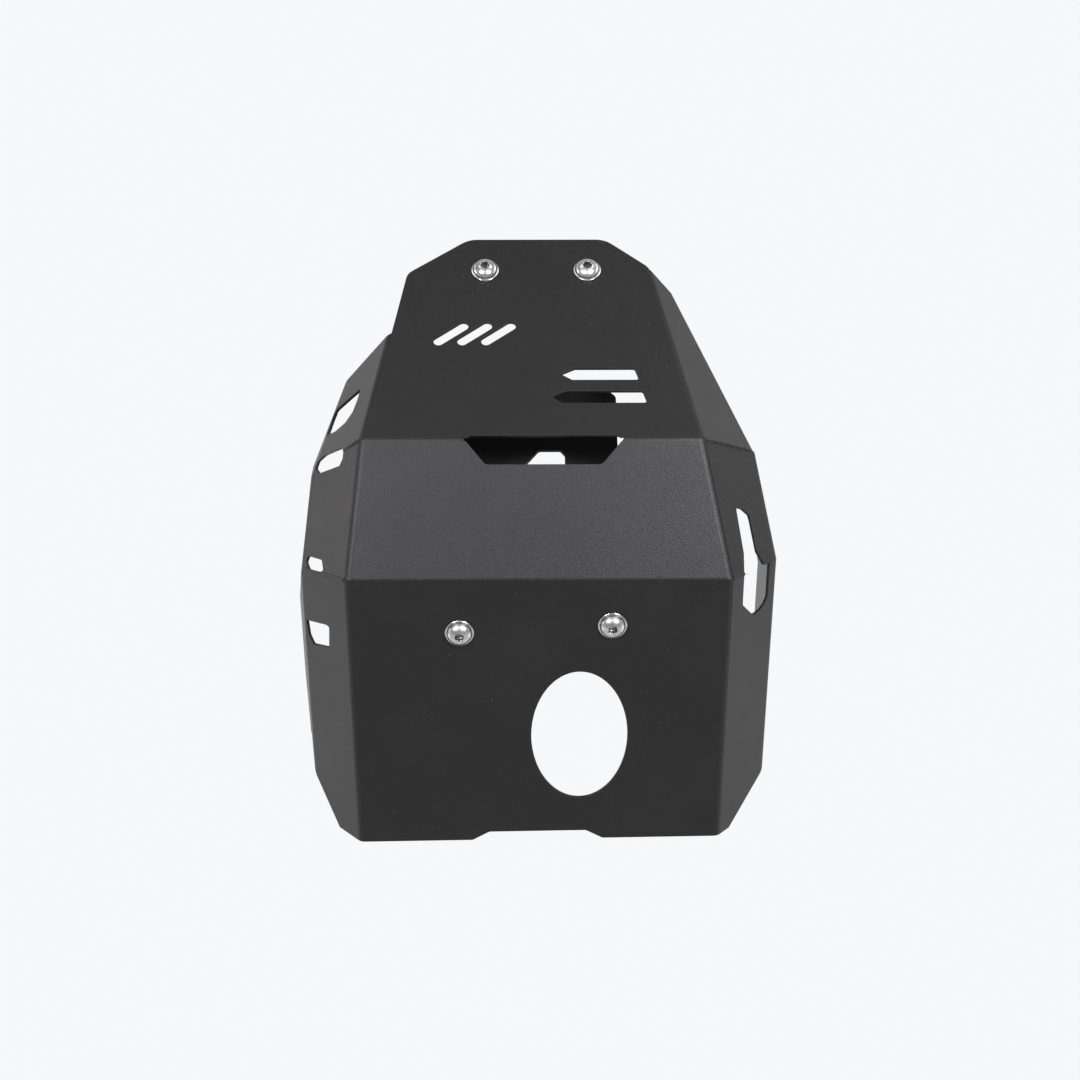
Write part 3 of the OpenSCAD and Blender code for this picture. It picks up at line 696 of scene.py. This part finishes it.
@dataclass
class GuardPlate:
    """The folded sheet guard, its edge radius in mm and its crease angle in degrees."""

    edge_radius: float = 0.3
    crease: float = 15.0
    welds: WeldBeads = field(default_factory=WeldBeads)

    def build(self, finishes: Finishes) -> None:
        """Makes the coated sheet and its weld beads.

        Args:
            finishes: The finishes.
        """
        sheet = merged_copy("guard_plate", "folded_guard")
        tree = BVHTree.FromObject(sheet, bpy.context.evaluated_depsgraph_get())
        soften(sheet, self.edge_radius * MM, self.crease)
        dress(sheet, finishes.guard, Slot.GUARD, "guard_plate")
        for seam in self.welds.seams:
            dress(self.welds.bead(seam, tree), finishes.weld, Slot.GUARD)


@dataclass
class FrontBracket:
    """The bent bracket behind the front and slope panels, sizes as for the guard."""

    edge_radius: float = 0.35
    crease: float = 15.0

    def build(self, finishes: Finishes) -> None:
        """Makes the coated bracket."""
        plate = merged_copy("front_bracket", "bent_bracket")
        soften(plate, self.edge_radius * MM, self.crease)
        dress(plate, finishes.bracket, Slot.BRACKET, "front_bracket")


# ---- fasteners


@dataclass
class ButtonScrew:
    """A flanged button-head screw with a hexagon socket and a cut thread, sizes in millimetres."""

    node: str
    seat: Seat
    length: float
    neck_length: float = 0.0
    neck_radius: float = 3.2
    radius: float = 3.98
    pitch: float = 1.25
    thread_depth: float = 0.67
    flange_radius: float = 8.9
    flange: float = 1.2
    head_radius: float = 7.95
    head: float = 6.1
    socket: float = 5.0
    socket_depth: float = 3.6
    places: int = 96

    def head_profile(self) -> list[tuple]:
        """Lists the head's rings, from the socket's floor over the dome to under the flange.

        The dome is part of an ellipse, r = R cos t, z = flange + H sin t, from the socket's edge
        to t = 0, with H such that it meets the head's height at the socket. The socket's rings
        have a hexagon's radius. The tenths of a millimetre in the lists round the edges.

        Returns:
            (radius, height) pairs for revolve().
        """
        turn = np.arange(self.places) * 2 * math.pi / self.places
        bore = hexagon(turn, self.socket, self.socket / math.sqrt(3) - 0.05)
        corner = self.socket / math.sqrt(3)
        floor = self.head - self.socket_depth
        inside = [(0.02, floor - 0.3), (self.socket / 2 - 0.15, floor), (bore - 0.12, floor),
                  (bore, floor + 0.12), (bore, self.head - 0.34),
                  (np.maximum(bore, corner - 0.12) + 0.1, self.head - 0.1),
                  (corner + 0.3, self.head - 0.02)]
        lip = corner + 0.5
        full = (self.head - 0.05 - self.flange) / math.sqrt(1 - (lip / self.head_radius) ** 2)
        t = np.linspace(math.acos(lip / self.head_radius), 0, 22)
        dome = [(self.head_radius * math.cos(a), self.flange + full * math.sin(a)) for a in t]
        rim, f = self.flange_radius, self.flange
        outside = [(self.head_radius + 0.12, f + 0.06), (self.head_radius + 0.45, f - 0.02),
                   (rim - 0.45, f - 0.04), (rim - 0.2, f - 0.08), (rim - 0.06, f - 0.2),
                   (rim, f - 0.42), (rim, 0.34), (rim - 0.1, 0.12), (rim - 0.32, 0.0)]
        return inside + dome + outside

    def shank_profile(self) -> list[tuple]:
        """Lists the shank's rings, from under the flange to the chamfered tip.

        At depth z and angle t the thread's radius is R - depth x (1 - cut), where the cut is a
        flat-topped wave of the phase z / pitch + t / full turn: 1 over the crest, 0 over the root,
        straight between. At the tip the radius is held under a 45 degree cone.

        Returns:
            (radius, height) pairs for revolve().
        """
        turn = np.arange(self.places) / self.places
        start = self.neck_length + 0.8 if self.neck_length else 0.6
        depth_at = np.arange(start, self.length - 0.05, self.pitch / 10)
        phase = np.mod(depth_at[:, None] / self.pitch + turn[None], 1.0)
        cut = np.clip((np.abs(phase - 0.5) * 2 - 0.2) / 0.62, 0.0, 1.0)
        radius = self.radius - self.thread_depth * (1 - cut)
        tip = self.radius - 0.85 + self.length - depth_at
        radius = np.minimum(radius, tip[:, None])
        if self.neck_length:
            under = [(self.neck_radius, -0.02), (self.neck_radius, -self.neck_length)]
        else:
            under = [(self.radius + 0.02, -0.02), (self.radius, -start + 0.1)]
        thread = [(ring, -depth) for ring, depth in zip(radius, depth_at)]
        return under + thread + [(self.radius - 0.95, -self.length)]

    def build(self, finishes: Finishes) -> None:
        """Makes the screw and lays the way along its profile in the `turned` attribute."""
        rings = revolve(self.head_profile() + self.shank_profile(), self.places)
        flat = rings.mean(1)[:, 2]
        wide = np.linalg.norm(rings[..., :2], axis=-1).mean(1)
        along = np.concatenate([[0.0], np.cumsum(np.hypot(np.diff(flat), np.diff(wide)))])
        piece = skin(self.node + "_turned", self.seat.place(rings), crease=28)
        mark_way(piece, np.repeat(along, self.places))
        dress(piece, finishes.screw, Slot.SCREW, self.node)


def mark_way(piece: bpy.types.Object, along: np.ndarray) -> None:
    """Writes the way along the profile, in millimetres, to the `turned` attribute.

    Args:
        piece: The object.
        along: One value for each ring point; the poles get the nearest end's value.
    """
    values = np.zeros(len(piece.data.vertices), np.float32)
    values[:len(along)] = along
    values[len(along):] = along[-1]
    piece.data.attributes.new("turned", "FLOAT", "POINT").data.foreach_set("value", values)


@dataclass
class WeldNut:
    """A hexagon nut welded to the bracket, sizes in millimetres."""

    node: str
    seat: Seat
    at: float = 5.0
    height: float = 6.5
    flats: float = 13.0
    bore: float = 4.05
    places: int = 96

    def build(self, finishes: Finishes) -> None:
        """Makes the nut.

        Its outer rings have a hexagon's radius. The free face's chamfer is a 30 degree cone: the
        hexagon's edge lies back from it by the tangent of 30 degrees times how far its radius
        passes the flat face's circle. The base has a thin weld collar.
        """
        turn = np.arange(self.places) * 2 * math.pi / self.places
        hexed = hexagon(turn, self.flats, self.flats / math.sqrt(3) - 0.15)
        face = self.flats / 2 - 0.35
        low = -self.at - self.height
        edge = low + (hexed - face) * math.tan(math.radians(30))
        profile = [
            (self.bore, -self.at), (hexed + 0.02, -self.at), (hexed, -self.at - 0.35),
            (hexed, edge + 0.12), (hexed - 0.06, edge + 0.02), (face, low),
            (self.bore + 0.55, low), (self.bore + 0.4, low + 0.06), (self.bore, low + 0.5)]
        rings = revolve(profile, self.places)
        piece = skin(self.node + "_formed", self.seat.place(rings), crease=28, loop=True)
        wide = np.linalg.norm(rings[..., :2], axis=-1)
        mark_way(piece, (wide + rings[..., 2] * 0.7).reshape(-1))
        dress(piece, finishes.nut, Slot.NUT, self.node)


@dataclass
class RetainingWasher:
    """A flat washer on the screw's neck, against the belly's inner face, sizes in millimetres."""

    node: str
    seat: Seat
    at: float = 2.0
    thick: float = 1.6
    radius: float = 8.0
    hole: float = 3.4
    places: int = 96

    def build(self, finishes: Finishes) -> None:
        """Makes the washer: a ring with small rounds, the larger ones on its inner side."""
        top, low, r = -self.at, -self.at - self.thick, self.radius
        profile = [(self.hole, top - 0.1), (self.hole + 0.1, top), (r - 0.1, top), (r, top - 0.1),
                   (r, low + 0.4), (r - 0.12, low + 0.14), (r - 0.4, low), (self.hole + 0.25, low),
                   (self.hole + 0.06, low + 0.08), (self.hole, low + 0.25)]
        rings = revolve(profile, self.places)
        piece = skin(self.node + "_stamped", self.seat.place(rings), crease=40, loop=True)
        dress(piece, finishes.washer, Slot.WASHER, self.node)


@dataclass
class Fasteners:
    """The four screws with their weld nuts and washers, lengths in mm."""

    front_length: float = 20.0
    rear_length: float = 30.0
    neck_length: float = 6.0
    front: dict[Side, Seat] = field(default_factory=lambda: {
        Side.LEFT: Seat((48.0, -146.796, 18.572), 61.0, 17.0),
        Side.RIGHT: Seat((-46.0, -144.372, 14.199), 61.0, 41.0)})
    rear: dict[Side, Seat] = field(default_factory=lambda: {
        Side.LEFT: Seat((33.0, 79.0, -57.0), 0.0, 8.0),
        Side.RIGHT: Seat((-33.0, 79.0, -57.0), 0.0, 52.0)})

    def build(self, finishes: Finishes) -> None:
        """Makes every fastener."""
        for side in Side:
            word = side.name.lower()
            ButtonScrew("front_screw_" + word, self.front[side], self.front_length).build(finishes)
            WeldNut("front_nut_" + word, self.front[side]).build(finishes)
            ButtonScrew("rear_screw_" + word, self.rear[side], self.rear_length,
                        self.neck_length).build(finishes)
            RetainingWasher("rear_washer_" + word, self.rear[side]).build(finishes)


# ---- studio


# Tints of the lamps below and above the guard, and of those beside it
COOL = (0.985, 0.99, 1.03)
WARM = (1.03, 0.975, 0.995)


@dataclass(frozen=True)
class Lamp:
    """A soft rectangular lamp that looks at the guard, sizes in metres and watts."""

    name: str
    place: tuple[float, float, float]
    size: tuple[float, float]
    power: float
    tint: tuple[float, float, float]


@dataclass
class Studio:
    """The camera at the photograph's viewing angle, soft lamps, a pale floor and a white world.

    Places are in metres, the camera's turn in degrees and its lens in mm.
    """

    camera_place: tuple[float, float, float] = (0.0052, -0.69734, -0.94247)
    camera_turn: tuple[float, float, float] = (-147.2619, 0.2142, -179.6768)
    lens: float = 60.0
    floor_height: float = -1.65
    floor_half: float = 9.0
    world_light: float = 0.42
    aim: tuple[float, float, float] = (0.0, -0.09, -0.02)
    lamps: tuple[Lamp, ...] = (
        Lamp("key left", (0.59, -0.44, -1.13), (0.3, 0.3), 16.2, COOL),
        Lamp("key right", (-0.59, -0.44, -1.13), (0.3, 0.3), 23.4, COOL),
        Lamp("under left", (0.6, 0.75, -1.1), (0.6, 0.5), 2.05, COOL),
        Lamp("under right", (-0.6, 0.75, -1.1), (0.6, 0.5), 3.1, COOL),
        Lamp("rear left", (1.05, 0.95, 0.2), (0.6, 0.6), 1.65, WARM),
        Lamp("left", (1.4, 0.15, -0.08), (0.6, 0.6), 5.2, WARM),
        Lamp("front left", (1.2, -0.4, 0.62), (0.6, 0.6), 1.9, WARM),
        Lamp("rear right", (-1.05, 0.95, -0.12), (0.6, 0.6), 1.65, WARM),
        Lamp("right rear", (-1.3, 0.55, -0.25), (0.6, 0.6), 1.85, WARM),
        Lamp("right", (-1.4, 0.12, -0.28), (0.6, 0.6), 1.15, WARM),
        Lamp("front right", (-1.2, -0.5, 0.55), (0.6, 0.6), 1.82, WARM),
        Lamp("overhead", (0.1, 0.35, 1.7), (1.4, 1.4), 3.0, COOL),
    )

    def camera(self) -> None:
        """Makes the camera."""
        data = bpy.data.cameras.new("camera")
        data.lens = self.lens
        data.sensor_width = 36.0
        data.sensor_fit = "HORIZONTAL"
        data.clip_start, data.clip_end = 0.01, 50.0
        view = bpy.data.objects.new("camera", data)
        view.location = self.camera_place
        view.rotation_euler = Euler([math.radians(a) for a in self.camera_turn])
        bpy.context.scene.collection.objects.link(view)
        bpy.context.scene.camera = view

    def light(self) -> None:
        """Makes the lamps, which the camera doesn't see."""
        for lamp in self.lamps:
            data = bpy.data.lights.new(lamp.name, "AREA")
            data.shape = "RECTANGLE"
            data.size, data.size_y = lamp.size
            data.energy = lamp.power
            data.color = lamp.tint
            made = bpy.data.objects.new(lamp.name, data)
            made.location = lamp.place
            look = Vector(self.aim) - Vector(lamp.place)
            made.rotation_euler = look.to_track_quat("-Z", "Y").to_euler()
            made.visible_camera = False
            bpy.context.scene.collection.objects.link(made)

    def surroundings(self) -> None:
        """Makes the pale floor and the world, white to the camera and in reflections."""
        half, z = self.floor_half, self.floor_height
        corners = [(-half, -half, z), (half, -half, z), (half, half, z), (-half, half, z)]
        mesh = bpy.data.meshes.new("floor")
        mesh.from_pydata(corners, [], [(0, 1, 2, 3)])
        floor = bpy.data.objects.new("floor", mesh)
        bpy.context.scene.collection.objects.link(floor)
        material, hand, shader, place = new_material("pale floor")
        cloud = hand.add("TexNoise", {"Vector": place, "Scale": 1.5, "Detail": 3.0})
        hand.tree.links.new(hand.mix(cloud.outputs[0], (0.8, 0.8, 0.8, 1), (0.84, 0.84, 0.84, 1)),
                            shader.inputs["Base Color"])
        shader.inputs["Roughness"].default_value = 0.8
        mesh.materials.append(material)
        world = bpy.data.worlds.new("white room")
        world.use_nodes = True
        hand = Nodes(world.node_tree)
        ray = hand.add("LightPath")
        mirrored = hand.math("MAXIMUM", ray.outputs["Is Glossy Ray"],
                             ray.outputs["Is Transmission Ray"])
        seen = hand.math("MAXIMUM", ray.outputs["Is Camera Ray"], mirrored)
        back = world.node_tree.nodes["Background"]
        back.inputs["Color"].default_value = (0.93, 0.935, 0.945, 1)
        hand.tree.links.new(hand.spread(seen, 0.0, 1.0, self.world_light),
                            back.inputs["Strength"])
        bpy.context.scene.world = world
        bpy.context.scene.view_settings.view_transform = "Standard"

    def build(self) -> None:
        """Makes the whole studio."""
        self.camera()
        self.light()
        self.surroundings()


def main() -> None:
    """Builds the looks in order and reports each piece."""
    logging.basicConfig(level=logging.INFO, format="%(name)s %(message)s")
    Studio().build()
    finishes = Finishes()
    GuardPlate().build(finishes)
    FrontBracket().build(finishes)
    Fasteners().build(finishes)


if __name__ == "__main__":
    main()
